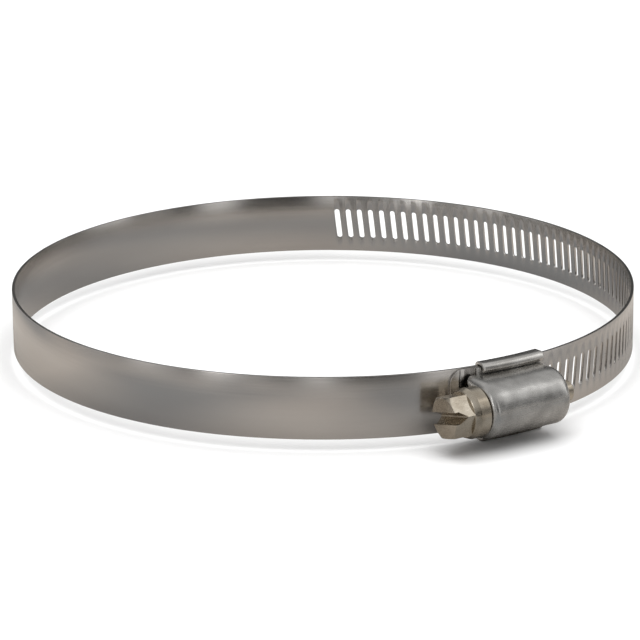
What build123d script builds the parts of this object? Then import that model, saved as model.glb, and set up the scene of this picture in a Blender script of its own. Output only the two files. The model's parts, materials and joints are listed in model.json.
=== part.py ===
from build123d import *

import math
import os

# Worm-drive hose clamp: a slotted steel band, a saddle, a drawn cover and a slotted hex screw.
#
# Frame: millimetres, the hose axis is Z through the origin, z = 0 is the middle of the band's width.
# The housing sits at -Y, the screw lies along X with its head towards -X.
# The band is one springy strip on the real clamp. It bends where it is cut here into short arcs,
# each of which is one node, so that the loop can really close when the screw is turned.

# ---------------------------------------------------------------- driving sizes
BAND_WIDTH = 12.7
BAND_T = 0.6
PITCH = 2.54  # one slot, and one turn of the screw
LAYER_GAP = 0.08  # running gap between two layers that slide

HOSE_RADIUS = 64.4  # inside of the loop's round back
TAIL_RADIUS = 62.5  # middle of the band where it runs through the housing
SIDE_RADIUS = 75.0  # flatter stretch between the tail and the back, slotted side
TAIL_HALF_PITCHES = 39  # the stiff tail ends this many half pitches past the housing
TAIL_TIP = 13.5  # length of tail that stands out on the screw's side
TIP_CORNER = 3.0
CAPTIVE_TURN = 30.0  # degrees of the captive end's arc, from the housing to the flatter side

SLOT_LENGTH = 6.7
SLOT_WIDTH = 1.2
SLOT_LEAN = 6.5  # degrees, follows the lead of the thread
SLOTS_TO_TIP = 4  # slots between the housing's middle and the tip
SLOTS_TO_BACK = 64  # slots from the housing's middle round to the plain band

SADDLE_Z = -0.9  # the saddle has dropped by the band's side play
COVER_Z = -0.6  # and the cover and the screw with it, less their own play
SHEET = 0.6  # saddle
SADDLE_HALF_WIDTH = 8.0
SADDLE_HALF_LENGTH = 7.1
LIP_WIDTH = 1.8
LIP_ROLL = 0.4  # the lips are rolled, so they stand this much off the flanges
LUG = (1.6, 3.0)  # length, width of the lug that holds the captive end
LUG_PLAY = 1.2
LUG_SIDE_PLAY = 0.32
SADDLE_BEND = 1.0

COVER_T = 0.5
COVER_START, COVER_END = -11.2, 7.6
ARCH_RADIUS = 5.7
FLANGE_HALF_WIDTH = 6.9
FLANGE_START, FLANGE_END = -8.2, 7.2
ROUND_EDGE = 1.3

THREAD_RADIUS = 5.0
THREAD_ROOT = 3.9
THREAD_BITE = 0.45  # how deep the crest goes into the slots
THREAD_CREST = 0.5
THREAD_FLANK = 20.0
THREAD_TURNS = 5.5
THREAD_FOOT = 3.7  # the ridge starts this deep, inside the worm's root
WORM_END_PITCHES = 2  # a whole number of pitches from the slot at the housing's middle

COLLAR_RADIUS = 5.05
COLLAR_LENGTH = 3.7
COLLAR_CONE = 0.8
NECK_RADIUS = 3.3
NECK_CONE = 0.3
NOSE_RADIUS = 2.1
NOSE_CONE = 0.6
NOSE_OUT = 3.4
NOSE_CHAMFER = 0.5
NOTCH_PLAY = 0.15
HEX_FLATS = 8.0
HEX_LENGTH = 4.2
HEX_TURN = 14.0  # degrees, one corner above the outward direction
HEX_TIP_RADIUS = 3.95
HEX_CHAMFER = 30.0  # degrees from the end face
DRIVER_SLOT_WIDTH = 2.4
DRIVER_SLOT_DEPTH = 0.9
DRIVER_SLOT_POINT = 1.6  # extra depth of the slot's pointed floor

BACK_SECTIONS = 5
SLOTTED_SIDE_SECTIONS = 1
PLAIN_SIDE_SECTIONS = 1

# ---------------------------------------------------------------- the loop's outline
# Four arcs that meet in line. An angle is that of the band's outward normal, in degrees,
# -90 at the housing, growing round the slotted side, the back and the plain side to 270.
BACK_RADIUS = HOSE_RADIUS + BAND_T / 2
TAIL_ARC = TAIL_HALF_PITCHES * PITCH / 2
TAIL_TURN = math.degrees(TAIL_ARC / TAIL_RADIUS)
CAPTIVE_RADIUS = TAIL_RADIUS - BAND_T - LAYER_GAP


def housing_centre_drop():
    """How far the tail's centre lies below the origin, so that the side arc meets the back."""
    a = SIDE_RADIUS - TAIL_RADIUS
    b = SIDE_RADIUS - BACK_RADIUS
    turn = math.radians(TAIL_TURN)
    return a * math.cos(turn) - math.sqrt(b * b - (a * math.sin(turn)) ** 2)


DROP = housing_centre_drop()


def plain_side_radius():
    """Radius of the flatter stretch between the back and the captive end's arc."""
    e = CAPTIVE_RADIUS - BACK_RADIUS
    reach = e + DROP * math.cos(math.radians(CAPTIVE_TURN))
    return CAPTIVE_RADIUS + (DROP**2 - e * e) / (2 * reach)


PLAIN_SIDE_RADIUS = plain_side_radius()


def unit(angle):
    return Vector(math.cos(math.radians(angle)), math.sin(math.radians(angle)))


TAIL_CENTRE = Vector(0, -DROP)
SLOTTED_SIDE_CENTRE = TAIL_CENTRE - unit(TAIL_TURN - 90) * (SIDE_RADIUS - TAIL_RADIUS)
PLAIN_SIDE_CENTRE = TAIL_CENTRE - unit(270 - CAPTIVE_TURN) * (PLAIN_SIDE_RADIUS - CAPTIVE_RADIUS)


def angle_of(vector):
    return math.degrees(math.atan2(vector.Y, vector.X)) % 360


BACK_START = angle_of(SLOTTED_SIDE_CENTRE * -1) - 360
BACK_END = angle_of(PLAIN_SIDE_CENTRE * -1)

# (first angle, last angle, centre, mid radius, number of sections), round the loop
ARCS = [
    (TAIL_TURN - 90, BACK_START, SLOTTED_SIDE_CENTRE, SIDE_RADIUS, SLOTTED_SIDE_SECTIONS),
    (BACK_START, BACK_END, Vector(0, 0), BACK_RADIUS, BACK_SECTIONS),
    (BACK_END, 270 - CAPTIVE_TURN, PLAIN_SIDE_CENTRE, PLAIN_SIDE_RADIUS, PLAIN_SIDE_SECTIONS),
]

# ---------------------------------------------------------------- places in the housing
HOUSING_Y = -(DROP + TAIL_RADIUS)  # middle of the tail under the screw
SCREW_Y = HOUSING_Y - (BAND_T / 2 - THREAD_BITE + THREAD_RADIUS)
SADDLE_OUTER = CAPTIVE_RADIUS - BAND_T / 2 - LAYER_GAP
SADDLE_INNER = SADDLE_OUTER - SHEET
FLANGE_INNER = TAIL_RADIUS + BAND_T / 2 + LAYER_GAP
FLANGE_OUTER = FLANGE_INNER + COVER_T
LIP_INNER = FLANGE_OUTER + LIP_ROLL
LIP_OUTER = LIP_INNER + SHEET
CAPTIVE_INSIDE = 7.2  # the captive end reaches this far past the housing's middle
CAPTIVE_CUT = 10.2  # and bends for the first time this far out on the screw's side
CAPTIVE_START = 270 - math.degrees(CAPTIVE_CUT / CAPTIVE_RADIUS)

# ---------------------------------------------------------------- how far a cut runs past the metal
OVERRUN = 1.0
WINDOW_DEPTH = 4.0  # past one band's thickness, short of the tail's other side
FAR = 40.0  # longer than the housing is wide


# ---------------------------------------------------------------- band
def ring_sector(centre, inner, outer, start, end, half_width):
    """A curved bar of rectangular section: between two radii and two angles, about centre."""
    span = end - start
    face = Plane.XZ * Pos((inner + outer) / 2, 0) * Rectangle(outer - inner, 2 * half_width)
    bar = revolve(face, Axis.Z, span)
    return Pos(centre.X, centre.Y, 0) * Rot(0, 0, start) * bar


def band_arc(centre, radius, start, end):
    return ring_sector(centre, radius - BAND_T / 2, radius + BAND_T / 2, start, end, BAND_WIDTH / 2)


def slot_cutter(centre, radius, angle):
    """One leaning, round-ended slot, cut straight through the band along its normal."""
    outline = Rot(0, 0, 90 - SLOT_LEAN) * SlotOverall(SLOT_LENGTH, SLOT_WIDTH)
    cutter = extrude(outline, amount=BAND_T * 2, both=True)
    normal = unit(angle)
    at = centre + normal * radius
    along = Vector(-normal.Y, normal.X)
    outward = Plane(
        origin=(at.X, at.Y, 0), x_dir=(along.X, along.Y, 0), z_dir=(normal.X, normal.Y, 0)
    )
    return outward * cutter


def slot_places():
    """Every slot as (arc number, angle): number -1 is the tail, then the arcs in order."""
    places = []
    for count in range(-SLOTS_TO_TIP, SLOTS_TO_BACK + 1):
        run = count * PITCH
        if run < TAIL_ARC:
            places.append((-1, math.degrees(run / TAIL_RADIUS) - 90))
            continue
        run -= TAIL_ARC
        for number, (start, end, _, radius, _) in enumerate(ARCS):
            length = math.radians(end - start) * radius
            if run < length:
                places.append((number, start + math.degrees(run / radius)))
                break
            run -= length
    return places


SLOTS = slot_places()


def cut_slots(solid, number, centre, radius, start, end):
    angles = [angle for arc, angle in SLOTS if arc == number and start < angle < end]
    cutters = [slot_cutter(centre, radius, angle) for angle in angles]
    return solid - cutters if cutters else solid


def web_cut(number, radius, wanted):
    """The middle of the web nearest to a wanted cut, so that no slot is cut in two."""
    half = math.degrees(PITCH / 2 / radius)
    webs = [angle + half for arc, angle in SLOTS if arc == number]
    if not webs or wanted > max(webs) + half:
        return wanted
    return min(webs, key=lambda web: abs(web - wanted))


def band_tail():
    """The free end: through the housing, out past the screw's head, with a rounded tip."""
    tip = -90 - math.degrees(TAIL_TIP / TAIL_RADIUS)
    tail = band_arc(TAIL_CENTRE, TAIL_RADIUS, tip, TAIL_TURN - 90)
    corners = [
        edge
        for edge in tail.edges().filter_by(lambda e: abs(e.length - BAND_T) < 0.01)
        if edge.center().X < 0
    ]
    tail = fillet(corners, TIP_CORNER)
    return cut_slots(tail, -1, TAIL_CENTRE, TAIL_RADIUS, tip, TAIL_TURN - 90)


def band_sections():
    """The bending part of the loop, from the tail round to the captive end, as short arcs."""
    sections = []
    for number, (start, end, centre, radius, count) in enumerate(ARCS):
        wanted = [start + (end - start) * step / count for step in range(count + 1)]
        cuts = [start, *(web_cut(number, radius, angle) for angle in wanted[1:-1]), end]
        for first, last in zip(cuts, cuts[1:]):
            piece = band_arc(centre, radius, first, last)
            sections.append(cut_slots(piece, number, centre, radius, first, last))
    sections.append(band_arc(TAIL_CENTRE, CAPTIVE_RADIUS, 270 - CAPTIVE_TURN, CAPTIVE_START))
    return sections


def band_captive_end():
    """The plain end under the tail, with a window for the saddle's lug."""
    end = 270 + math.degrees(CAPTIVE_INSIDE / CAPTIVE_RADIUS)
    piece = band_arc(TAIL_CENTRE, CAPTIVE_RADIUS, CAPTIVE_START, end)
    window = Box(LUG[0] + 2 * LUG_PLAY, WINDOW_DEPTH, LUG[1] + 2 * LUG_SIDE_PLAY)
    return piece - Pos(0, HOUSING_Y, 0) * window


# ---------------------------------------------------------------- saddle
def sector_about_tail(inner, outer, half_length, half_width):
    turn = math.degrees(half_length / TAIL_RADIUS)
    return ring_sector(TAIL_CENTRE, inner, outer, -90 - turn, -90 + turn, half_width)


def saddle():
    """Curved base under the band; its sides rise and fold in over the cover's flanges."""
    shell = sector_about_tail(SADDLE_INNER, LIP_OUTER, SADDLE_HALF_LENGTH, SADDLE_HALF_WIDTH)
    shell = fillet(shell.edges().filter_by(GeomType.CIRCLE), SADDLE_BEND)
    cut_length = SADDLE_HALF_LENGTH + OVERRUN
    hollow = sector_about_tail(SADDLE_OUTER, LIP_INNER, cut_length, SADDLE_HALF_WIDTH - SHEET)
    lip_tip = SADDLE_HALF_WIDTH - LIP_WIDTH
    mouth = sector_about_tail(LIP_INNER - LAYER_GAP, LIP_OUTER + OVERRUN, cut_length, lip_tip)
    shell -= [hollow, mouth]
    lug = Pos(0, -DROP - SADDLE_OUTER, -SADDLE_Z) * Box(LUG[0], 2 * BAND_T, LUG[1])
    lug -= Pos(0, -DROP, 0) * Cylinder(SADDLE_OUTER - SHEET / 2, FAR)
    return shell + lug


# ---------------------------------------------------------------- cover
def arch_section(radius, foot):
    """Half-round arch over the screw with straight legs down to foot, as a face in YZ."""
    legs = Pos((SCREW_Y + foot) / 2, 0) * Rectangle(foot - SCREW_Y, 2 * radius)
    round_top = Pos(SCREW_Y, 0) * Circle(radius)
    return Plane.YZ * (round_top + legs)


def screw_notch(radius, x):
    """Round hole on the screw's axis, open towards the band, through the end wall at x."""
    hole = Circle(radius) + Pos(radius, 0) * Rectangle(2 * radius, 2 * radius)
    return Pos(x - OVERRUN, 0, 0) * extrude(
        Plane.YZ * Pos(SCREW_Y, 0) * hole, amount=COVER_T + 2 * OVERRUN
    )


def cover():
    """Drawn arch over the worm with an end wall at each end and a flange along each side."""
    foot = HOUSING_Y
    length = COVER_END - COVER_START
    arch = Pos(COVER_START, 0, 0) * extrude(arch_section(ARCH_RADIUS, foot), amount=length)
    ends = (arch.faces().sort_by(Axis.X)[0], arch.faces().sort_by(Axis.X)[-1])
    rims = [edge for face in ends for edge in face.edges() if edge.center().Y < foot - BAND_T]
    arch = fillet(rims, ROUND_EDGE)
    inner = extrude(arch_section(ARCH_RADIUS - COVER_T, foot + OVERRUN), amount=length - 2 * COVER_T)
    arch -= Pos(COVER_START + COVER_T, 0, 0) * inner
    half = (FLANGE_END - FLANGE_START) / 2
    flange = sector_about_tail(FLANGE_INNER, FLANGE_OUTER, half, FLANGE_HALF_WIDTH)
    middle = math.degrees((FLANGE_END + FLANGE_START) / 2 / TAIL_RADIUS)
    flange = flange.rotate(Axis((TAIL_CENTRE.X, TAIL_CENTRE.Y, 0), (0, 0, 1)), middle)
    flange -= Pos(0, HOUSING_Y, 0) * Box(2 * length, ARCH_RADIUS, 2 * (ARCH_RADIUS - COVER_T))
    under = Pos(TAIL_CENTRE.X, TAIL_CENTRE.Y, 0) * Cylinder(FLANGE_INNER, FAR)
    notches = [
        screw_notch(NECK_RADIUS + NOTCH_PLAY, COVER_START),
        screw_notch(NOSE_RADIUS + NOTCH_PLAY, COVER_END - COVER_T),
    ]
    return (arch + flange) - under - notches


# ---------------------------------------------------------------- screw
def thread(start):
    """The helical ridge along X from start, beginning on the side away from the band."""
    rise = math.tan(math.radians(THREAD_FLANK))
    foot = THREAD_CREST / 2 + (THREAD_RADIUS - THREAD_FOOT) * rise
    section = Polyline(
        (THREAD_FOOT, foot),
        (THREAD_RADIUS, THREAD_CREST / 2),
        (THREAD_RADIUS, -THREAD_CREST / 2),
        (THREAD_FOOT, -foot),
        close=True,
    )
    path = Helix(PITCH, THREAD_TURNS * PITCH, THREAD_FOOT)
    ridge = sweep(Plane.XZ * make_face(section), path, is_frenet=True)
    return Plane(origin=(start, 0, 0), x_dir=(0, -1, 0), z_dir=(1, 0, 0)) * ridge


def screw_core(collar_start, worm_start, worm_end):
    """Collar, neck, worm root and nose, turned in one piece."""
    neck_start = COVER_START - LAYER_GAP
    nose_end = COVER_END + NOSE_OUT
    profile = Polyline(
        (collar_start, 0),
        (collar_start, COLLAR_RADIUS - COLLAR_CONE),
        (collar_start + COLLAR_CONE, COLLAR_RADIUS),
        (neck_start, COLLAR_RADIUS),
        (neck_start, NECK_RADIUS),
        (worm_start - NECK_CONE, NECK_RADIUS),
        (worm_start, THREAD_ROOT),
        (worm_end, THREAD_ROOT),
        (worm_end + NOSE_CONE, NOSE_RADIUS),
        (nose_end - NOSE_CHAMFER, NOSE_RADIUS),
        (nose_end, NOSE_RADIUS - NOSE_CHAMFER),
        (nose_end, 0),
        close=True,
    )
    return revolve(make_face(profile), Axis.X)


def hex_head(start, end):
    """The hexagon, chamfered on its tip."""
    bar = Plane.YZ * Rot(0, 0, 180 - HEX_TURN) * RegularPolygon(HEX_FLATS / 2, 6, major_radius=False)
    head = Pos(start, 0, 0) * extrude(bar, amount=end - start)
    corner = HEX_FLATS / math.sqrt(3)
    cone_length = (corner - HEX_TIP_RADIUS) * math.tan(math.radians(HEX_CHAMFER))
    tip = Polyline(
        (start, 0),
        (start, HEX_TIP_RADIUS),
        (start + cone_length, corner),
        (end, corner),
        (end, 0),
        close=True,
    )
    return head & revolve(make_face(tip), Axis.X)


def driver_slot(start):
    """The screwdriver slot across two corners, with a pointed bottom."""
    half = DRIVER_SLOT_WIDTH / 2
    floor = start + DRIVER_SLOT_DEPTH
    mouth = start - OVERRUN
    notch = Polyline(
        (mouth, -half),
        (floor, -half),
        (floor + DRIVER_SLOT_POINT, 0),
        (floor, half),
        (mouth, half),
        close=True,
    )
    return Rot(-HEX_TURN, 0, 0) * extrude(Plane.XZ * make_face(notch), amount=FAR, both=True)


def screw():
    """Slotted hexagon, collar, neck, worm and nose: one turned and rolled piece along X."""
    collar_start = COVER_START - LAYER_GAP - COLLAR_LENGTH
    hex_start = collar_start - HEX_LENGTH
    worm_end = WORM_END_PITCHES * PITCH
    worm_start = worm_end - THREAD_TURNS * PITCH  # half a turn away, on the far side from the band
    body = screw_core(collar_start, worm_start, worm_end) + hex_head(hex_start, collar_start)
    body -= driver_slot(hex_start)
    return Pos(0, SCREW_Y, 0) * (body + thread(worm_start))


def main():
    os.makedirs("parts", exist_ok=True)
    nodes = {"band_tail": band_tail()}
    for number, piece in enumerate(band_sections(), 1):
        nodes[f"band_flex_{number:02d}"] = piece
    nodes["band_captive_end"] = band_captive_end()
    nodes["saddle"] = Pos(0, 0, SADDLE_Z) * saddle()
    nodes["cover"] = Pos(0, 0, COVER_Z) * cover()
    nodes["screw"] = Pos(0, 0, COVER_Z) * screw()
    for name, shape in nodes.items():
        export_step(shape, f"parts/{name}.step")
        print(name, len(shape.solids()), round(shape.volume, 2), shape.is_valid)


if __name__ == "__main__":
    main()
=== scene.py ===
# %% [markdown]
# A worm-drive hose clamp: a springy steel band with a row of leaning slots, a small saddle under it,
# a drawn cover over the worm, and a slotted hex screw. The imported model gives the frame: which piece
# moves with which body, where each hinge is and how large everything is. Everything below is placed
# from that, in metres, so nothing has to be fitted by eye.

# %% Load the frame
import json
import math

import bmesh
import bpy
from mathutils import Matrix, Vector


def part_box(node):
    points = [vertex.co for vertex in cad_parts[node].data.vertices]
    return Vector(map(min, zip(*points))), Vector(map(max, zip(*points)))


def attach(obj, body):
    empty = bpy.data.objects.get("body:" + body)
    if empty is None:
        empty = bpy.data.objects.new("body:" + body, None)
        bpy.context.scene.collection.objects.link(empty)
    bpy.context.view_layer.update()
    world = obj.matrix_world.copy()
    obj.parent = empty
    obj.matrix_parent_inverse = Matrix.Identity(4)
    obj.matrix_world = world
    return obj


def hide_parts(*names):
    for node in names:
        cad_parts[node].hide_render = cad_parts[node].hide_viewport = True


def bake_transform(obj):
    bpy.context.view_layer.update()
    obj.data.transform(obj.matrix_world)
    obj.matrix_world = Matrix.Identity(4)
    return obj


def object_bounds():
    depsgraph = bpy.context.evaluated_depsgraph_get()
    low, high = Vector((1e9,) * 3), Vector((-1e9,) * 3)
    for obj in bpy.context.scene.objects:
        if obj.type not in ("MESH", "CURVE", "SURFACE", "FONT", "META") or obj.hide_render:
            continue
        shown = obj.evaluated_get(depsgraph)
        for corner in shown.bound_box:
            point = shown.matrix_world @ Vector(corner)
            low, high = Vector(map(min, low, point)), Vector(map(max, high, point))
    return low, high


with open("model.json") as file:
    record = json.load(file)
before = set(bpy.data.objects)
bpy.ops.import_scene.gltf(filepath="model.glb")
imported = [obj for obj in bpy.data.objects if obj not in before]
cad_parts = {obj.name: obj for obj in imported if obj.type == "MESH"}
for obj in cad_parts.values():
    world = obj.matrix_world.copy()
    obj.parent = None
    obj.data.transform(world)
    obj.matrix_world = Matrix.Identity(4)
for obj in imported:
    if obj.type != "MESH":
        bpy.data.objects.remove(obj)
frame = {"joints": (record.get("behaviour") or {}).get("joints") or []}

cad_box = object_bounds()
MM = 0.001
hinge_at = {joint["name"]: Vector(joint["pos_m"]) for joint in frame["joints"]}

# %% [markdown]
# The camera stands 0.76 m away with a long lens, as for a catalogue shot of something palm-sized.
# It looks at the hose's centre from a third of a right angle to the left of the housing.
# A small shift frames the loop a little above the middle without tilting the verticals.

# %% Camera
CAMERA_DISTANCE = 0.76106
CAMERA_AZIMUTH = math.radians(-33.5)
CAMERA_ELEVATION = math.radians(17.39)
CAMERA_ROLL = math.radians(-0.41)
LENS = 203.5
SENSOR = 36
NEAR_LIMIT = 0.05
SHIFT = (-0.00425, -0.0187)

back = Vector((
    math.sin(CAMERA_AZIMUTH) * math.cos(CAMERA_ELEVATION),
    -math.cos(CAMERA_AZIMUTH) * math.cos(CAMERA_ELEVATION),
    math.sin(CAMERA_ELEVATION),
))
bpy.ops.object.camera_add(location=back * CAMERA_DISTANCE)
camera = bpy.context.object
aim = back.to_track_quat("Z", "Y")
camera.rotation_euler = (aim.to_matrix() @ Matrix.Rotation(CAMERA_ROLL, 3, "Z")).to_euler()
camera.data.lens = LENS
camera.data.sensor_width = SENSOR
camera.data.shift_x, camera.data.shift_y = SHIFT
camera.data.clip_start = NEAR_LIMIT
bpy.context.scene.camera = camera
print("camera at", tuple(round(v, 3) for v in camera.location))

# %% [markdown]
# Steel shows what stands round it more than what shines on it. The floor is plain and pale.
# A large soft light hangs above and one stands at each side. The walls between them are dark and
# light cards, which fade into an even ceiling. In the steel the floor is toned down too, with soft
# patches, as a grey table top would be. The strip then takes soft upright bands of light and dark, as
# polished sheet does in a light tent.

# %% Floor and light
WALL_DARK, WALL_LIGHT = 0.03, 0.95
CEILING = 0.62
CARD_SCALE, CARD_FLATTEN, CARD_SPAN = 2.1, 0.12, (0.4, 0.62)
CARDS_END, CEILING_START = 0.25, 0.9
FLOOR_SIZE, FLOOR_SQUARES = 8, 8
FLOOR_PALE = (0.9, 0.9, 0.9, 1)
FLOOR_ROUGHNESS = 0.9
PATCH_SCALE, PATCH_START, PATCH_END = 13, 0.36, 0.64
TABLE_DARK, TABLE_LIGHT = (0.24, 0.245, 0.25, 1), (0.5, 0.465, 0.43, 1)

floor_height = cad_box[0][2]
bpy.ops.mesh.primitive_grid_add(size=FLOOR_SIZE, x_subdivisions=FLOOR_SQUARES,
                                y_subdivisions=FLOOR_SQUARES, location=(0, 0, floor_height))
floor = bpy.context.object
floor.name = "studio_floor"
floor_finish = bpy.data.materials.new("pale_floor")
floor_finish.use_nodes = True
floor_shader = floor_finish.node_tree.nodes["Principled BSDF"]
floor_shader.inputs["Base Color"].default_value = FLOOR_PALE
floor_shader.inputs["Roughness"].default_value = FLOOR_ROUGHNESS
floor_shader.inputs["Specular IOR Level"].default_value = 0.0
seen_by = floor_finish.node_tree.nodes.new("ShaderNodeLightPath")
floor_tone = floor_finish.node_tree.nodes.new("ShaderNodeMix")
floor_tone.data_type = "RGBA"
floor_tone.inputs["A"].default_value = FLOOR_PALE
patches = floor_finish.node_tree.nodes.new("ShaderNodeTexNoise")
patches.inputs["Scale"].default_value = PATCH_SCALE
patches.inputs["Detail"].default_value = 0
table = floor_finish.node_tree.nodes.new("ShaderNodeValToRGB")
dark_stop, light_stop = table.color_ramp.elements
dark_stop.position, light_stop.position = PATCH_START, PATCH_END
dark_stop.color, light_stop.color = TABLE_DARK, TABLE_LIGHT
floor_place = floor_finish.node_tree.nodes.new("ShaderNodeTexCoord")
floor_finish.node_tree.links.new(floor_place.outputs["Object"], patches.inputs["Vector"])
floor_finish.node_tree.links.new(patches.outputs["Fac"], table.inputs["Fac"])
floor_finish.node_tree.links.new(table.outputs["Color"], floor_tone.inputs["B"])
floor_finish.node_tree.links.new(seen_by.outputs["Is Glossy Ray"], floor_tone.inputs["Factor"])
floor_finish.node_tree.links.new(floor_tone.outputs["Result"], floor_shader.inputs["Base Color"])
floor.data.materials.append(floor_finish)


def soft_light(name, azimuth, elevation, distance, size, watts):
    """An area light that faces the clamp from the given direction, in degrees."""
    a, e = math.radians(azimuth), math.radians(elevation)
    way = Vector((math.sin(a) * math.cos(e), -math.cos(a) * math.cos(e), math.sin(e)))
    bpy.ops.object.light_add(type="AREA", location=way * distance)
    light = bpy.context.object
    light.name = name
    light.rotation_euler = way.to_track_quat("Z", "Y").to_euler()
    light.data.shape = "RECTANGLE"
    light.data.size, light.data.size_y = size
    light.data.energy = watts
    return light


soft_light("top_light", -30, 80, 1.5, (2.0, 2.0), 29).visible_glossy = False
soft_light("left_light", -72, 26, 1.3, (0.22, 0.8), 1.3)
soft_light("right_light", 60, 34, 1.3, (0.4, 0.8), 0.8)

world = bpy.data.worlds.new("studio_air")
bpy.context.scene.world = world
world.use_nodes = True
air = world.node_tree
way_in = air.nodes.new("ShaderNodeTexCoord")
squash = air.nodes.new("ShaderNodeMapping")
squash.inputs["Scale"].default_value = (1.0, 1.0, CARD_FLATTEN)
cards = air.nodes.new("ShaderNodeTexNoise")
cards.inputs["Scale"].default_value = CARD_SCALE
cards.inputs["Detail"].default_value = 1.0
spread = air.nodes.new("ShaderNodeMapRange")
spread.interpolation_type = "SMOOTHSTEP"
for socket, value in zip(spread.inputs[1:5], (*CARD_SPAN, WALL_DARK, WALL_LIGHT)):
    socket.default_value = value
height = air.nodes.new("ShaderNodeSeparateXYZ")
rise = air.nodes.new("ShaderNodeMapRange")
rise.interpolation_type = "SMOOTHSTEP"
for socket, value in zip(rise.inputs[1:5], (CARDS_END, CEILING_START, 0.0, 1.0)):
    socket.default_value = value
blend_up = air.nodes.new("ShaderNodeMix")
blend_up.inputs["B"].default_value = CEILING
air.links.new(way_in.outputs["Generated"], squash.inputs["Vector"])
air.links.new(squash.outputs["Vector"], cards.inputs["Vector"])
air.links.new(cards.outputs["Fac"], spread.inputs["Value"])
air.links.new(way_in.outputs["Generated"], height.inputs["Vector"])
air.links.new(height.outputs["Z"], rise.inputs["Value"])
air.links.new(rise.outputs["Result"], blend_up.inputs["Factor"])
air.links.new(spread.outputs["Result"], blend_up.inputs["A"])
air.links.new(blend_up.outputs["Result"], air.nodes["Background"].inputs["Color"])
air.nodes["Background"].inputs["Strength"].default_value = 1.0
bpy.context.scene.view_settings.view_transform = "Standard"
print("floor at", round(floor_height, 4))

# %% [markdown]
# The band is one strip bent in five arcs that meet in line: the stiff tail under the screw,
# a flatter stretch, the round back, another flatter stretch, and the captive end under the tail.
# Every hinge of the frame lies on the strip's inner face, so the circles are read from the hinges.
# Where two circles meet, both centres and the meeting point are on one line.

# %% The band's outline
tail_low, tail_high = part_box("band_tail")
captive_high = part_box("band_captive_end")[1]
bends = sorted(name for name in hinge_at if name.startswith("bend_"))
tail_end, side_end, back_end, captive_start = (hinge_at[bends[i]] for i in (0, 1, -3, -2))
tail_centre = hinge_at["tail_feed"]
hose_centre = Vector((0, 0, 0))
band_width = tail_high.z - tail_low.z
tail_inner = (tail_end - tail_centre).length
captive_inner = (captive_start - tail_centre).length
band_thickness = tail_centre.y - tail_low.y - tail_inner


def centre_on_both(point_a, centre_a, point_b, centre_b):
    """Where the line through centre_a and point_a crosses the one through centre_b and point_b."""
    a, b, gap = ((end - start).xy for start, end in
                 ((centre_a, point_a), (centre_b, point_b), (centre_a, centre_b)))
    return centre_a + (point_a - centre_a) * (gap.cross(b) / a.cross(b))


def bearing(point, centre):
    """Angle of a point seen from a circle's centre, 0 at the housing, growing anticlockwise."""
    return math.atan2(point.x - centre.x, centre.y - point.y) % math.tau


side_centre = centre_on_both(tail_end, tail_centre, side_end, hose_centre)
plain_centre = centre_on_both(captive_start, tail_centre, back_end, hose_centre)
tip_angle = math.asin(tail_low.x / (tail_inner + band_thickness))
captive_tip = math.asin(captive_high.x / (captive_inner + band_thickness))


def arc(centre, first, last):
    """A stretch of the strip's middle line: centre, radius, first and last angle."""
    radius = (last - centre).length + band_thickness / 2
    return centre, radius, bearing(first, centre), bearing(last, centre)


outline = [
    (tail_centre, tail_inner + band_thickness / 2, tip_angle, bearing(tail_end, tail_centre)),
    arc(side_centre, tail_end, side_end),
    arc(hose_centre, side_end, back_end),
    arc(plain_centre, back_end, captive_start),
    (tail_centre, captive_inner + band_thickness / 2,
     bearing(captive_start, tail_centre), math.tau + captive_tip),
]
for centre, radius, first, last in outline:
    print("arc radius", round(radius / MM, 2), [round(math.degrees(v), 1) for v in (first, last)])

# %% [markdown]
# A place on the band is given by its run: the length along the strip, zero under the screw.
# A flat strip is easy to make, so every stretch of band is made flat and then bent. The guide for
# the bend is a Bezier curve; an arc of up to 15 degrees needs handles of 4/3 tan(angle / 4) radii.

# %% Guide curve
KNOT_STEP = math.radians(15)
CURVE_STEPS = 48
ON_CIRCLE = 0.01 * MM
ANGLE_SLACK = 1e-4
tip_run = outline[0][1] * tip_angle


def on_band(run):
    """The point of the strip's middle line at that run."""
    left = run - tip_run
    for centre, radius, first, last in outline:
        length = radius * (last - first)
        if left <= length:
            break
        left -= length
    angle = first + left / radius
    return centre + Vector((math.sin(angle), -math.cos(angle), 0)) * radius


def run_of(point):
    """The run of a hinge, found on the circle that it lies on."""
    run = tip_run
    for centre, radius, first, last in outline:
        off = abs((point - centre).length - radius + band_thickness / 2)
        angle = bearing(point, centre)
        if off < ON_CIRCLE and first - ANGLE_SLACK <= angle <= last + ANGLE_SLACK:
            return run + radius * (angle - first)
        run += radius * (last - first)
    raise ValueError("the point is not on the strip's inner face")


def guide_curve():
    """The strip's middle line from the free tip to the captive end, as one Bezier curve."""
    knots = []
    for centre, radius, first, last in outline:
        steps = math.ceil((last - first) / KNOT_STEP)
        step = (last - first) / steps
        reach = 4 / 3 * math.tan(step / 4) * radius
        for count in range(steps + 1):
            angle = first + step * count
            way = Vector((math.sin(angle), -math.cos(angle), 0))
            onward = Vector((math.cos(angle), math.sin(angle), 0))
            if count == 0 and knots:
                knots[-1][3] = reach
            else:
                knots.append([centre + way * radius, onward, reach, reach])
    bpy.ops.curve.primitive_bezier_curve_add()
    guide = bpy.context.object
    guide.location = (0, 0, 0)
    guide.data.resolution_u = guide.data.render_resolution_u = CURVE_STEPS
    points = guide.data.splines[0].bezier_points
    points.add(len(knots) - len(points))
    for point, (place, onward, before, after) in zip(points, knots):
        point.handle_left_type = point.handle_right_type = "FREE"
        point.co = place
        point.handle_left = place - onward * before
        point.handle_right = place + onward * after
    return guide


guide = guide_curve()
bend_runs = [run_of(hinge_at[name]) for name in bends]
print("tip at", round(tip_run / MM, 2), "bends at", [round(run / MM, 1) for run in bend_runs])

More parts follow.
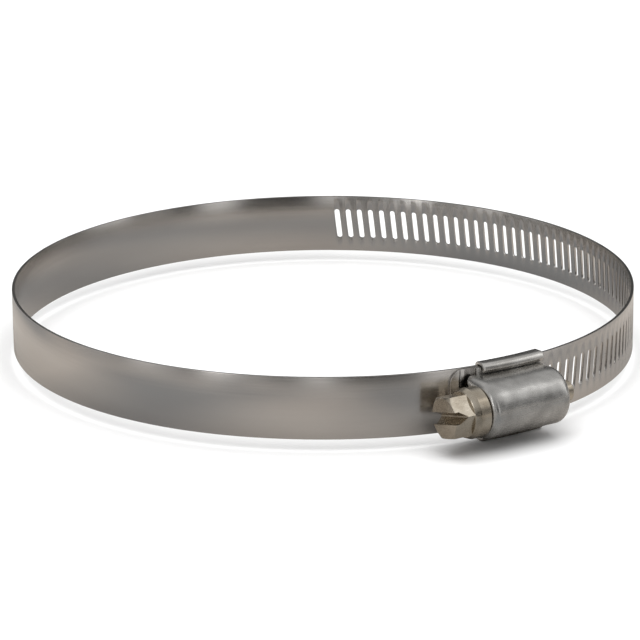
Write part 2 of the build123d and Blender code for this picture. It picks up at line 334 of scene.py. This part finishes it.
# %% [markdown]
# The slots are punched one pitch apart, and one pitch is what a turn of the screw pulls in. The strip
# is therefore built from cells one pitch long. A cell is a block with eight columns, so that it bends
# smoothly; the slot is cut by a round-ended punch, and a small bevel gives the rolled edge its glint.

# %% One pitch of strip
PITCH = 2.54 * MM
COLUMNS = 8
SLOT_WIDTH = 1.2 * MM
SLOT_LENGTH = 6.7 * MM
SLOT_LEAN = math.radians(6.5)
EDGE_ROUND = 0.09 * MM
PUNCH_SIDES = 20
HAIR = 1e-6


def only(obj):
    """Makes obj the one selected and active object."""
    bpy.ops.object.select_all(action="DESELECT")
    obj.select_set(True)
    bpy.context.view_layer.objects.active = obj
    return obj


def edit(obj, select):
    """Enters edit mode with the vertices chosen by select(co), or everything for None."""
    only(obj)
    bpy.ops.object.mode_set(mode="EDIT")
    bpy.ops.mesh.select_mode(type="VERT")
    bpy.ops.mesh.select_all(action="SELECT" if select is None else "DESELECT")
    if select is not None:
        mesh = bmesh.from_edit_mesh(obj.data)
        for vertex in mesh.verts:
            vertex.select = select(vertex.co)
        mesh.select_flush(True)
        bmesh.update_edit_mesh(obj.data)


def leave_edit():
    """Goes back to object mode."""
    bpy.ops.object.mode_set(mode="OBJECT")


def block(name, low, high):
    """A box between two corners, its place in its mesh."""
    low, high = Vector(low), Vector(high)
    bpy.ops.mesh.primitive_cube_add(size=1, location=(low + high) / 2)
    box = only(bpy.context.object)
    box.name = box.data.name = name
    box.scale = high - low
    bpy.ops.object.transform_apply(location=True, rotation=True, scale=True)
    return box


def apply(obj, kind, **settings):
    """Adds one modifier with its settings and applies it."""
    only(obj)
    modifier = obj.modifiers.new(kind.title(), kind)
    for key, value in settings.items():
        setattr(modifier, key, value)
    bpy.ops.object.modifier_apply(modifier=modifier.name)
    return obj


def cut(obj, tool, operation="DIFFERENCE"):
    """Cuts obj with tool and throws the tool away."""
    apply(obj, "BOOLEAN", object=tool, operation=operation, solver="EXACT")
    bpy.data.objects.remove(tool)
    return obj


def slot_punch():
    """A round rod pulled out to the slot's length and leaned over to follow the thread."""
    bpy.ops.mesh.primitive_cylinder_add(
        vertices=PUNCH_SIDES, radius=SLOT_WIDTH / 2, depth=4 * band_thickness, rotation=(math.pi / 2, 0, 0))
    punch = only(bpy.context.object)
    bpy.ops.object.transform_apply(location=False, rotation=True, scale=False)
    half = (SLOT_LENGTH - SLOT_WIDTH) / 2
    for side in (1, -1):
        edit(punch, lambda co: co.z * side > HAIR)
        bpy.ops.transform.translate(value=(0, 0, side * half))
        leave_edit()
    punch.rotation_euler.y = SLOT_LEAN
    only(punch)
    bpy.ops.object.transform_apply(location=False, rotation=True, scale=False)
    return punch


def strip_cell(slotted):
    """One pitch of flat strip: X along it, -Y outwards, Z across, open where the next cell joins."""
    half = Vector((PITCH / 2, band_thickness / 2, band_width / 2))
    cell = block("cell", -half, half)
    for column in range(1, COLUMNS):
        edit(cell, None)
        bpy.ops.mesh.bisect(plane_co=(PITCH * (column / COLUMNS - 0.5), 0, 0), plane_no=(1, 0, 0))
        leave_edit()
    if slotted:
        cut(cell, slot_punch())
    edit(cell, None)
    bpy.ops.mesh.select_mode(type="FACE")
    bpy.ops.mesh.select_all(action="DESELECT")
    mesh = bmesh.from_edit_mesh(cell.data)
    for face in mesh.faces:
        face.select = abs(face.normal.x) > 0.99 and abs(face.calc_center_median().x) > PITCH * 0.49
    bmesh.update_edit_mesh(cell.data)
    bpy.ops.mesh.delete(type="FACE")
    leave_edit()
    apply(cell, "BEVEL", width=EDGE_ROUND, segments=2, limit_method="ANGLE", angle_limit=math.radians(40))
    return cell


slotted_cell, plain_cell = strip_cell(True), strip_cell(False)
print("slotted cell", len(slotted_cell.data.polygons), "faces, plain", len(plain_cell.data.polygons))

# %% [markdown]
# A stretch of band is a row of cells, merged where they meet and closed at both ends. Its UV map holds
# the run and the height in metres, so that a pattern follows the steel round the loop and stays on it
# when the loop bends. Last, the Curve modifier lays the flat row along the guide.

# %% Stretches of band
FIRST_SLOT, LAST_SLOT = -4, 64


def row_of_cells(pattern, first, last):
    """Copies of one cell, from cell number first to last, still flat."""
    row = pattern.copy()
    row.data = pattern.data.copy()
    bpy.context.collection.objects.link(row)
    apply(row, "ARRAY", count=last - first + 1, use_relative_offset=False, use_constant_offset=True,
          constant_offset_displace=(PITCH, 0, 0), use_merge_vertices=True, merge_threshold=HAIR)
    edit(row, None)
    bpy.ops.transform.translate(value=(first * PITCH - tip_run, 0, 0))
    leave_edit()
    return row


def flat_stretch(name, first, last):
    """Flat strip from cell number first to last, slotted where the slots are, closed at both ends."""
    slots = range(max(first, FIRST_SLOT), min(last, LAST_SLOT) + 1)
    rows = [row_of_cells(slotted_cell, slots[0], slots[-1])] if slots else []
    if first < FIRST_SLOT:
        rows.append(row_of_cells(plain_cell, first, FIRST_SLOT - 1))
    if last > LAST_SLOT:
        rows.append(row_of_cells(plain_cell, max(first, LAST_SLOT + 1), last))
    bpy.ops.object.select_all(action="DESELECT")
    for row in rows:
        row.select_set(True)
    bpy.context.view_layer.objects.active = rows[0]
    if len(rows) > 1:
        bpy.ops.object.join()
    stretch = rows[0]
    stretch.name = stretch.data.name = name
    edit(stretch, None)
    bpy.ops.mesh.remove_doubles(threshold=HAIR)
    bpy.ops.mesh.select_all(action="DESELECT")
    bpy.ops.mesh.select_mode(type="EDGE")
    bpy.ops.mesh.select_non_manifold(extend=False)
    bpy.ops.mesh.edge_face_add()
    leave_edit()
    return stretch


def map_flat(stretch):
    """Writes the run and the height of every corner to the UV map, in metres."""
    layer = stretch.data.uv_layers.get("strip") or stretch.data.uv_layers.new(name="strip")
    for loop in stretch.data.loops:
        co = stretch.data.vertices[loop.vertex_index].co
        layer.data[loop.index].uv = (co.x + tip_run, co.z)


def lay_on_guide(stretch):
    """Bends a flat stretch round the loop and smooths it, keeping its edges crisp."""
    map_flat(stretch)
    apply(stretch, "CURVE", object=guide, deform_axis="POS_X")
    only(stretch)
    bpy.ops.object.shade_smooth_by_angle(angle=math.radians(30))
    return stretch


def trim(stretch, run, keep_after):
    """Cuts a flat stretch square at a run and closes it there."""
    edit(stretch, None)
    bpy.ops.mesh.bisect(plane_co=(run - tip_run, 0, 0), plane_no=(1, 0, 0), use_fill=True,
                        clear_inner=keep_after, clear_outer=not keep_after)
    leave_edit()
    return stretch


print("slots", FIRST_SLOT, "to", LAST_SLOT)

# %% [markdown]
# All of it is bare stainless steel, but each piece was finished its own way. The band was rolled: fine
# marks run along its length and follow it round the loop, so they are read from the strip's own map.
# The marks spread a reflection across the strip and leave it crisp along it. The saddle and the cover
# were stamped and drawn, which leaves them satin with soft dents. The screw has a warmer plating.

# %% Finishes
BAND_DARK, BAND_COLOUR = (0.53, 0.505, 0.48), (0.59, 0.57, 0.545)
MIDDLE_OF_NOISE = (0.3, 0.7)


def new_finish(name, colour, roughness, anisotropy=0.0):
    """A metal with its shader, ready for marks."""
    finish = bpy.data.materials.new(name)
    finish.use_nodes = True
    shader = finish.node_tree.nodes["Principled BSDF"]
    shader.inputs["Base Color"].default_value = (*colour, 1)
    shader.inputs["Metallic"].default_value = 1.0
    shader.inputs["Roughness"].default_value = roughness
    shader.inputs["Anisotropic"].default_value = anisotropy
    return finish, shader


def add_noise(finish, source, scale, size=1.0, detail=3.0):
    """Noise in stretched coordinates; source is the socket that gives them."""
    nodes, links = finish.node_tree.nodes, finish.node_tree.links
    stretch = nodes.new("ShaderNodeMapping")
    stretch.inputs["Scale"].default_value = scale
    noise = nodes.new("ShaderNodeTexNoise")
    noise.inputs["Scale"].default_value = size
    noise.inputs["Detail"].default_value = detail
    links.new(source, stretch.inputs["Vector"])
    links.new(stretch.outputs["Vector"], noise.inputs["Vector"])
    return noise.outputs["Fac"]


def to_range(finish, value, low, high, socket):
    """Feeds a value into a socket, with the middle of the noise spread over low...high."""
    nodes, links = finish.node_tree.nodes, finish.node_tree.links
    span = nodes.new("ShaderNodeMapRange")
    for place, number in zip(span.inputs[1:5], (*MIDDLE_OF_NOISE, low, high)):
        place.default_value = number
    links.new(value, span.inputs["Value"])
    links.new(span.outputs["Result"], socket)


def tint(finish, shader, value, dark, light):
    """Colour between dark and light by a value."""
    nodes, links = finish.node_tree.nodes, finish.node_tree.links
    ramp = nodes.new("ShaderNodeValToRGB")
    for stop, position, colour in zip(ramp.color_ramp.elements, MIDDLE_OF_NOISE, (dark, light)):
        stop.position, stop.color = position, (*colour, 1)
    links.new(value, ramp.inputs["Fac"])
    links.new(ramp.outputs["Color"], shader.inputs["Base Color"])


def bump(finish, shader, value, depth, strength=1.0):
    """Raises the surface by a value, on top of any bump that is there already."""
    nodes, links = finish.node_tree.nodes, finish.node_tree.links
    raise_by = nodes.new("ShaderNodeBump")
    raise_by.inputs["Distance"].default_value = depth
    raise_by.inputs["Strength"].default_value = strength
    links.new(value, raise_by.inputs["Height"])
    previous = shader.inputs["Normal"].links
    if previous:
        links.new(previous[0].from_socket, raise_by.inputs["Normal"])
    links.new(raise_by.outputs["Normal"], shader.inputs["Normal"])


def rolled_band():
    """Cold-rolled strip: fine marks along it, light wear and slow waves."""
    finish, shader = new_finish("rolled_band_steel", BAND_COLOUR, 0.22, 0.5)
    nodes, links = finish.node_tree.nodes, finish.node_tree.links
    along = nodes.new("ShaderNodeUVMap")
    along.uv_map = "strip"
    tangent = nodes.new("ShaderNodeTangent")
    tangent.direction_type = "UV_MAP"
    tangent.uv_map = "strip"
    links.new(tangent.outputs["Tangent"], shader.inputs["Tangent"])
    shader.inputs["Anisotropic Rotation"].default_value = 0.25
    marks = add_noise(finish, along.outputs["UV"], (9, 2200, 1), 1.0, 4.0)
    wear = add_noise(finish, along.outputs["UV"], (28, 120, 1), 1.0, 2.0)
    waves = add_noise(finish, along.outputs["UV"], (22, 6, 1), 1.0, 1.0)
    tint(finish, shader, wear, BAND_DARK, BAND_COLOUR)
    to_range(finish, marks, 0.17, 0.26, shader.inputs["Roughness"])
    bump(finish, shader, marks, 0.0008 * MM, 0.5)
    bump(finish, shader, waves, 0.35 * MM, 0.5)
    return finish


def stamped(name, dark, light, rough, dents, dent_scale):
    """Satin sheet or bar: stains, a fine grain and soft dents."""
    finish, shader = new_finish(name, light, rough)
    place = finish.node_tree.nodes.new("ShaderNodeTexCoord").outputs["Object"]
    stains = add_noise(finish, place, (330, 330, 330), 1.0, 3.0)
    grain = add_noise(finish, place, (900, 5200, 5200), 1.0, 3.0)
    dented = add_noise(finish, place, dent_scale, 1.0, 1.0)
    tint(finish, shader, stains, dark, light)
    to_range(finish, grain, rough - 0.06, rough + 0.08, shader.inputs["Roughness"])
    bump(finish, shader, grain, 0.004 * MM, 0.5)
    bump(finish, shader, dented, dents, 0.6)
    return finish


band_steel = rolled_band()
saddle_steel = stamped("saddle_steel", (0.5, 0.48, 0.45), (0.66, 0.645, 0.62),
                       0.26, 0.12 * MM, (180, 260, 260))
cover_steel = stamped("cover_steel", (0.4, 0.39, 0.375), (0.56, 0.55, 0.53),
                      0.27, 0.22 * MM, (230, 190, 190))
screw_steel = stamped("screw_steel", (0.4, 0.345, 0.27), (0.56, 0.505, 0.42),
                      0.22, 0.06 * MM, (300, 300, 300))


def finish_with(piece, finish):
    """Gives a piece its finish."""
    piece.data.materials.clear()
    piece.data.materials.append(finish)


print("finishes", band_steel.name, saddle_steel.name, cover_steel.name, screw_steel.name)

# %% [markdown]
# The free end was cropped with rounded corners, so that it feeds into the housing. It is the one part
# of the band that stays stiff here: it runs under the screw and keeps the housing's own curve.

# %% Tail
TIP_CORNER = 3 * MM
TAIL_LEFT_STIFF = 3


def round_tip(stretch):
    """Rounds the two corners of the free tip and breaks its sharp outline."""
    reach = len(stretch.data.vertices) * PITCH
    outline_tool = block("tip_outline", (0, -band_thickness, -band_width / 2),
                         (reach, band_thickness, band_width / 2))
    edit(outline_tool, None)
    bpy.ops.mesh.select_mode(type="EDGE")
    bpy.ops.mesh.select_all(action="DESELECT")
    mesh = bmesh.from_edit_mesh(outline_tool.data)
    for edge in mesh.edges:
        ends = [vertex.co for vertex in edge.verts]
        edge.select = all(co.x < MM for co in ends) and abs(ends[0].z - ends[1].z) < MM
    bmesh.update_edit_mesh(outline_tool.data)
    bpy.ops.mesh.bevel(offset=TIP_CORNER, segments=10, affect="EDGES")
    leave_edit()
    cut(stretch, outline_tool, "INTERSECT")
    edit(stretch, None)
    bpy.ops.mesh.select_mode(type="EDGE")
    bpy.ops.mesh.select_all(action="DESELECT")
    mesh = bmesh.from_edit_mesh(stretch.data)
    for edge in mesh.edges:
        near_tip = all(vertex.co.x < 1.01 * TIP_CORNER for vertex in edge.verts)
        edge.select = near_tip and len(edge.link_faces) == 2 and edge.calc_face_angle() > math.radians(60)
    bmesh.update_edit_mesh(stretch.data)
    bpy.ops.mesh.bevel(offset=EDGE_ROUND, segments=2, affect="EDGES")
    leave_edit()
    return stretch


def cell_at(run):
    """The number of the cell that ends nearest to a run."""
    return round(run / PITCH - 0.5)


tail_last = cell_at(bend_runs[0]) - TAIL_LEFT_STIFF
tail = lay_on_guide(round_tip(trim(flat_stretch("strip_tail", FIRST_SLOT - 1, tail_last), tip_run, True)))
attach(tail, "band_tail")
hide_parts("band_tail")
finish_with(tail, band_steel)
print("tail to cell", tail_last, "box", [round(v / MM, 2) for v in tail.dimensions])

# %% [markdown]
# From the tail round to the captive end the strip bends evenly. Each stretch below reaches from the
# middle of one section of the frame to the middle of the next. It is laid along the guide and left
# where it lies, not attached to a body of the frame.

# %% Bending stretches
flexing = [f"band_flex_{count:02d}" for count in range(1, len(bends))]
body_chain = ["band_tail", *flexing, "band_captive_end"]
end_run = tip_run + sum(radius * (last - first) for _, radius, first, last in outline)
middle_runs = [(a + b) / 2 for a, b in zip(bend_runs, bend_runs[1:])] + [bend_runs[-1] + PITCH]
bending = []
first_cell = tail_last + 1
for number, (name, middle) in enumerate(zip(bends, middle_runs)):
    last_cell = cell_at(middle)
    stretch = lay_on_guide(flat_stretch(f"strip_{name}", first_cell, last_cell))
    start, end = on_band((first_cell - 0.5) * PITCH), on_band((last_cell + 0.5) * PITCH)
    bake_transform(stretch)
    if number + 1 < len(bends):
        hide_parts(body_chain[number + 1])
    finish_with(stretch, band_steel)
    bending.append(stretch)
    first_cell = last_cell + 1
print("stretches", [(piece.name, len(piece.data.vertices)) for piece in bending])

# %% [markdown]
# The captive end lies under the tail, inside the saddle. A lug pressed up from the saddle holds it in
# a small window, which the tail hides.

# %% Captive end
captive = flat_stretch("strip_captive_end", first_cell, cell_at(end_run) + 1)
captive = lay_on_guide(trim(captive, end_run, False))
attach(captive, "band_captive_end")
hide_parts("band_captive_end")
finish_with(captive, band_steel)
for leftover in (slotted_cell, plain_cell, guide):
    bpy.data.objects.remove(leftover)
print("captive end from cell", first_cell, "to run", round(end_run / MM, 1))

# %% [markdown]
# The saddle is one blank of sheet: a curved base, two sides, and two lips folded in over the cover's
# flanges and pressed down on them. The lips are rolled rather than sharp, so the fold takes a bright
# line along its length. The profile is drawn once and swept about the tail's centre.

# %% Saddle
SHEET = 0.6 * MM
CLEAR = 0.08 * MM
saddle_low, saddle_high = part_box("saddle")
cover_low, cover_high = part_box("cover")
COVER_SHEET = 0.5 * MM
saddle_drop = (saddle_low.z + saddle_high.z) / 2
screw_drop = hinge_at["screw_turn"].z
BASE_FOLD = 0.8 * MM
LIP_FOLD = 0.85 * MM
LIP_WIDTH = 1.8 * MM
TIP_PLAY = 0.03 * MM
TIP_DIP, TIP_FLAT = 0.12 * MM, 0.3 * MM
SADDLE_EDGE = 0.1 * MM
SADDLE_STEPS = 28
SHARP = math.radians(60)


def chain(name, points):
    """A chain of edges through the given points, drawn out of one vertex."""
    points = [Vector(point) for point in points]
    bpy.ops.mesh.primitive_plane_add(size=MM, location=points[0])
    line = only(bpy.context.object)
    line.name = line.data.name = name
    bpy.ops.object.transform_apply(location=True, rotation=True, scale=True)
    edit(line, None)
    bpy.ops.mesh.merge(type="CENTER")
    for before, now in zip(points, points[1:]):
        bpy.ops.mesh.extrude_region_move(TRANSFORM_OT_translate={"value": now - before})
    leave_edit()
    return line


def profile(name, points):
    """A chain of edges in the YZ plane through the given (y, z) points."""
    return chain(name, [(0, y, z) for y, z in points])


def thicken(obj, thickness, offset=0.0):
    """Turns a surface into sheet and points every face outwards."""
    edit(obj, None)
    bpy.ops.mesh.normals_make_consistent(inside=False)
    leave_edit()
    apply(obj, "SOLIDIFY", thickness=thickness, offset=offset, use_even_offset=True)
    edit(obj, None)
    bpy.ops.mesh.normals_make_consistent(inside=False)
    leave_edit()
    return obj


def seat(obj, drop):
    """Moves a finished piece down: the housing hangs on the band by its side play."""
    edit(obj, None)
    bpy.ops.transform.translate(value=(0, 0, drop))
    leave_edit()
    return obj


def smooth(obj, degrees=35):
    """Shades obj smooth, with edges over that angle left crisp."""
    only(obj)
    bpy.ops.object.shade_smooth_by_angle(angle=math.radians(degrees))
    return obj


tail_outer = tail_centre.y - tail_inner - band_thickness
flange_y = tail_outer - CLEAR - COVER_SHEET
lip_y = saddle_low.y + SHEET / 2
base_y = tail_centre.y - captive_inner + CLEAR + SHEET / 2
outer_half = (saddle_high.z - saddle_low.z) / 2
half_width = outer_half - SHEET / 2
quarter = [math.radians(15 * step) for step in range(7)]
side_points = [(base_y - BASE_FOLD * (1 - math.cos(t)), half_width - BASE_FOLD * (1 - math.sin(t)))
               for t in quarter]
lip_points = [(lip_y + LIP_FOLD * (1 - math.sin(t)), half_width - LIP_FOLD * (1 - math.cos(t)))
              for t in quarter]
lip_tip = [(flange_y - SHEET / 2 - TIP_PLAY - TIP_DIP, outer_half - LIP_WIDTH + TIP_FLAT),
           (flange_y - SHEET / 2 - TIP_PLAY, outer_half - LIP_WIDTH)]
base_points = [(base_y, half_width * share) for share in (0, 0.35, 0.7)]
half_profile = base_points + side_points + lip_points + lip_tip
whole_profile = [(y, -z) for y, z in reversed(half_profile[1:])] + half_profile
saddle_turn = math.asin(saddle_high.x / (tail_centre.y - lip_y))
saddle = profile("saddle_sheet", whole_profile)
edit(saddle, None)
bpy.ops.transform.rotate(value=-saddle_turn, orient_axis="Z", center_override=tail_centre)
bpy.ops.mesh.select_all(action="SELECT")
bpy.ops.mesh.spin(steps=SADDLE_STEPS, angle=2 * saddle_turn, center=tail_centre, axis=(0, 0, 1))
leave_edit()
thicken(saddle, SHEET)
apply(saddle, "BEVEL", width=SADDLE_EDGE, segments=2, limit_method="ANGLE", angle_limit=SHARP)
smooth(seat(saddle, saddle_drop))
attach(saddle, "housing")
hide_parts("saddle")
finish_with(saddle, saddle_steel)
low, high = saddle.bound_box[0], saddle.bound_box[6]
print("saddle", [round(v / MM, 2) for v in low], [round(v / MM, 2) for v in high], saddle_low, saddle_high)

# %% [markdown]
# The cover is drawn from sheet: a half-round roof over the worm, straight legs, and a flange along
# each leg that the saddle's lips hold. Its front rim is rolled over towards the screw's collar, and
# the wall behind it has a round hole for the neck. The rear is closed but for a hole for the nose.

# %% Cover
RIM_ROUND = 1.6 * MM
FLANGE_START, FLANGE_END = -8.2 * MM, 7.2 * MM
NECK_HOLE = 3.5 * MM
NOSE_HOLE = 2.25 * MM
COVER_EDGE, FLANGE_EDGE = 0.09 * MM, 0.12 * MM
RIM_STEPS, ROOF_STEPS, ROOF_RINGS, FLANGE_STEPS = 5, 20, 12, 24
screw_axis = Vector((0, hinge_at["screw_turn"].y, 0))
roof_radius = screw_axis.y - cover_low.y
flange_half = (cover_high.z - cover_low.z) / 2


def sweep_along_x(line, start, end, steps):
    """Pulls a YZ profile along X from start to end, with rings on the way."""
    edit(line, None)
    bpy.ops.transform.translate(value=(start, 0, 0))
    for _ in range(steps):
        bpy.ops.mesh.extrude_region_move(TRANSFORM_OT_translate={"value": ((end - start) / steps, 0, 0)})
    leave_edit()
    return line


def fold_end(shell, x, side, hole, rise):
    """Rolls an open end of the roof over a quarter circle and closes it down to a hole."""
    for step in range(1, RIM_STEPS + 2):
        edit(shell, lambda co: (co.x - x) * side > -HAIR)
        if step <= RIM_STEPS:
            before, now = (math.radians(90 * k / RIM_STEPS) for k in (step - 1, step))
            push = RIM_ROUND * (math.sin(now) - math.sin(before))
            was, new = (roof_radius - RIM_ROUND * (1 - math.cos(k)) for k in (before, now))
        else:
            push, was, new = 0, roof_radius - RIM_ROUND, hole
        bpy.ops.mesh.extrude_region_move(TRANSFORM_OT_translate={"value": (side * push, 0, 0)})
        bpy.ops.transform.resize(value=(1, new / was, new / was), center_override=screw_axis)
        x += side * push
        leave_edit()
    return shell


roof = [(screw_axis.y - roof_radius * math.cos(t), roof_radius * math.sin(t))
        for t in (math.radians(-90 + 180 * k / ROOF_STEPS) for k in range(ROOF_STEPS + 1))]
leg_foot = flange_y + COVER_SHEET
legs = [[(leg_foot - (leg_foot - screw_axis.y) * share, side * roof_radius) for share in (0, 0.5)]
        for side in (-1, 1)]
cover = profile("cover_roof", legs[0] + roof + legs[1][::-1])
sweep_along_x(cover, cover_low.x + RIM_ROUND, cover_high.x - RIM_ROUND, ROOF_RINGS)
fold_end(cover, cover_low.x + RIM_ROUND, -1, NECK_HOLE, leg_foot)
fold_end(cover, cover_high.x - RIM_ROUND, 1, NOSE_HOLE, leg_foot)
thicken(cover, COVER_SHEET, -1)
apply(cover, "BEVEL", width=COVER_EDGE, segments=2, limit_method="ANGLE", angle_limit=SHARP)
smooth(cover)

flange_turns = [x / (tail_centre.y - tail_outer) for x in (FLANGE_START, FLANGE_END)]
flanges = []
for side in (-1, 1):
    strip = profile("cover_flange", [(flange_y + COVER_SHEET / 2, side * z)
                                     for z in (roof_radius - COVER_SHEET, roof_radius, flange_half)])
    edit(strip, None)
    bpy.ops.transform.rotate(value=-flange_turns[1], orient_axis="Z", center_override=tail_centre)
    bpy.ops.mesh.select_all(action="SELECT")
    bpy.ops.mesh.spin(steps=FLANGE_STEPS, angle=flange_turns[1] - flange_turns[0],
                      center=tail_centre, axis=(0, 0, 1))
    leave_edit()
    thicken(strip, COVER_SHEET)
    apply(strip, "BEVEL", width=FLANGE_EDGE, segments=2, limit_method="ANGLE", angle_limit=SHARP)
    flanges.append(smooth(strip))
for number, part in enumerate([cover, *flanges]):
    part.name = part.data.name = ["cover_roof", "cover_flange_low", "cover_flange_high"][number]
    seat(part, screw_drop)
    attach(part, "housing")
    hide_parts("cover")
    finish_with(part, cover_steel)
    print(part.name, [round(v / MM, 2) for v in (*part.bound_box[0], *part.bound_box[6])])

# %% [markdown]
# The screw is cold-headed and rolled: a 5/16 in hexagon with a chamfered end and a slot across two
# corners, a collar that bears on the cover's rim, a short neck, the worm and a nose that turns in the
# rear wall. The head and the shank are made apart and sit against each other inside the collar.

# %% Screw head
HEX_FLATS = 8 * MM
HEX_TURN = math.radians(14)
HEX_END_RADIUS = 3.95 * MM
COLLAR_LENGTH = 3.7 * MM
SLOT_ACROSS = 2.4 * MM
SLOT_DEEP = 0.9 * MM
SLOT_POINT = 1.6 * MM
POINT_SHARE = 0.12
SLOT_REACH = 8 * MM
HEAD_IN_COLLAR = 0.3 * MM
HEAD_EDGE = 0.12 * MM
ROUND_SIDES = 72
screw_low, screw_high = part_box("screw")
collar_end = cover_low.x - CLEAR
collar_start = collar_end - COLLAR_LENGTH
collar_radius = (screw_high.z - screw_low.z) / 2
hex_corner = HEX_FLATS / math.sqrt(3)


def rod(name, start, end, radius, sides, turn=0.0):
    """A solid bar along X on the screw's axis."""
    bpy.ops.mesh.primitive_cylinder_add(
        vertices=sides, radius=radius, depth=end - start,
        location=screw_axis + Vector(((start + end) / 2, 0, 0)), rotation=(0, math.pi / 2, 0))
    bar = only(bpy.context.object)
    bar.name = bar.data.name = name
    bpy.ops.object.transform_apply(location=True, rotation=True, scale=True)
    edit(bar, None)
    bpy.ops.transform.rotate(value=turn, orient_axis="X", center_override=screw_axis)
    leave_edit()
    return bar


def taper(bar, x, side, radius, new_radius, length):
    """Pulls the end of a bar out by length while its radius changes: a chamfer or a cone."""
    edit(bar, lambda co: (co.x - x) * side > -HAIR)
    bpy.ops.mesh.extrude_region_move(TRANSFORM_OT_translate={"value": (side * length, 0, 0)})
    bpy.ops.transform.resize(value=(1, new_radius / radius, new_radius / radius),
                             center_override=screw_axis + Vector((x + side * length, 0, 0)))
    leave_edit()
    return bar


def wedge_slot():
    """The screwdriver's slot: a flat block whose inner end is drawn to a point."""
    tool = block("driver_slot", screw_axis + Vector((screw_low.x - 2 * MM, -SLOT_REACH, -SLOT_ACROSS / 2)),
                 screw_axis + Vector((screw_low.x + SLOT_DEEP, SLOT_REACH, SLOT_ACROSS / 2)))
    edit(tool, lambda co: co.x > screw_low.x)
    bpy.ops.mesh.extrude_region_move(TRANSFORM_OT_translate={"value": (SLOT_POINT, 0, 0)})
    bpy.ops.transform.resize(value=(1, 1, POINT_SHARE))
    leave_edit()
    edit(tool, None)
    bpy.ops.transform.rotate(value=HEX_TURN, orient_axis="X", center_override=screw_axis)
    leave_edit()
    return tool


head = rod("screw_head", screw_low.x, collar_start + HEAD_IN_COLLAR, hex_corner, 6, HEX_TURN)
chamfer_length = (hex_corner - HEX_END_RADIUS) * math.tan(math.radians(30))
round_stock = rod("round_stock", screw_low.x + chamfer_length, collar_start + MM,
                  hex_corner * 1.001, ROUND_SIDES)
taper(round_stock, screw_low.x + chamfer_length, -1, hex_corner, HEX_END_RADIUS, chamfer_length)
cut(head, round_stock, "INTERSECT")
cut(head, wedge_slot())
apply(head, "BEVEL", width=HEAD_EDGE, segments=2, limit_method="ANGLE", angle_limit=math.radians(25))
smooth(head, 12)
print("head", [round(v / MM, 2) for v in (*head.bound_box[0], *head.bound_box[6])])

# %% [markdown]
# The shank is turned in one go from its outline, collar first. The worm's ridge is a small trapezium
# wound about the axis, one pitch for each turn, and it starts a little below the root's surface.

# %% Screw shank
WORM_ROOT = 3.9 * MM
WORM_CREST = 5.0 * MM
NECK_RADIUS = 3.3 * MM
NOSE_RADIUS = 2.1 * MM
WORM_TURNS = 5.5
WORM_STEPS_PER_TURN = 36
CREST_WIDTH = 0.5 * MM
FLANK = math.radians(20)
SUNK = 0.15 * MM
worm_end = 2 * PITCH
worm_start = worm_end - WORM_TURNS * PITCH
lathe = [
    (collar_start, 0), (collar_start, hex_corner - 0.12 * MM), (collar_start + 0.12 * MM, hex_corner),
    (collar_start + 1.1 * MM, collar_radius - 0.06 * MM), (collar_start + 1.25 * MM, collar_radius),
    (collar_end - 0.2 * MM, collar_radius), (collar_end, collar_radius - 0.2 * MM),
    (collar_end, NECK_RADIUS), (worm_start - 0.3 * MM, NECK_RADIUS), (worm_start, WORM_ROOT),
    (worm_end, WORM_ROOT), (worm_end + 0.6 * MM, NOSE_RADIUS), (screw_high.x - 0.5 * MM, NOSE_RADIUS),
    (screw_high.x, NOSE_RADIUS - 0.5 * MM), (screw_high.x, 0),
]


def turned(name, outline_points, steps=ROUND_SIDES):
    """A turned body: the outline (x, radius) spun about the screw's axis."""
    body = chain(name, [screw_axis + Vector((x, -radius, 0)) for x, radius in outline_points])
    edit(body, None)
    bpy.ops.mesh.spin(steps=steps, angle=math.tau, center=screw_axis, axis=(1, 0, 0))
    bpy.ops.mesh.select_all(action="SELECT")
    bpy.ops.mesh.remove_doubles(threshold=1e-7)
    bpy.ops.mesh.normals_make_consistent(inside=False)
    leave_edit()
    return body


shank = smooth(turned("screw_shank", lathe), 12)
half_crest = CREST_WIDTH / 2
foot_radius = WORM_ROOT - SUNK
half_foot = half_crest + (WORM_CREST - foot_radius) * math.tan(FLANK)
worm_steps = round(WORM_TURNS * WORM_STEPS_PER_TURN)
ridge = chain("screw_worm", [
    (-half_foot, -foot_radius, 0), (-half_crest, -WORM_CREST, 0),
    (half_crest, -WORM_CREST, 0), (half_foot, -foot_radius, 0)])
edit(ridge, None)
bpy.ops.mesh.edge_face_add()
leave_edit()
apply(ridge, "SCREW", axis="X", angle=WORM_TURNS * math.tau, screw_offset=WORM_TURNS * PITCH,
      steps=worm_steps, render_steps=worm_steps, use_normal_calculate=True)
edit(ridge, None)
bpy.ops.transform.translate(value=screw_axis + Vector((worm_start, 0, 0)))
bpy.ops.mesh.normals_make_consistent(inside=False)
leave_edit()
smooth(ridge, 30)
for part in (head, shank, ridge):
    seat(part, screw_drop)
    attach(part, "screw")
    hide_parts("screw")
    finish_with(part, screw_steel)
    print(part.name, [round(v / MM, 2) for v in (*part.bound_box[0], *part.bound_box[6])])
print("screw CAD", screw_low / MM, screw_high / MM)

# %% [markdown]
# Last, the size of the frame that everything was built on is printed.

# %% Sizes
print("CAD box", [[round(v / MM, 2) for v in corner] for corner in cad_box])
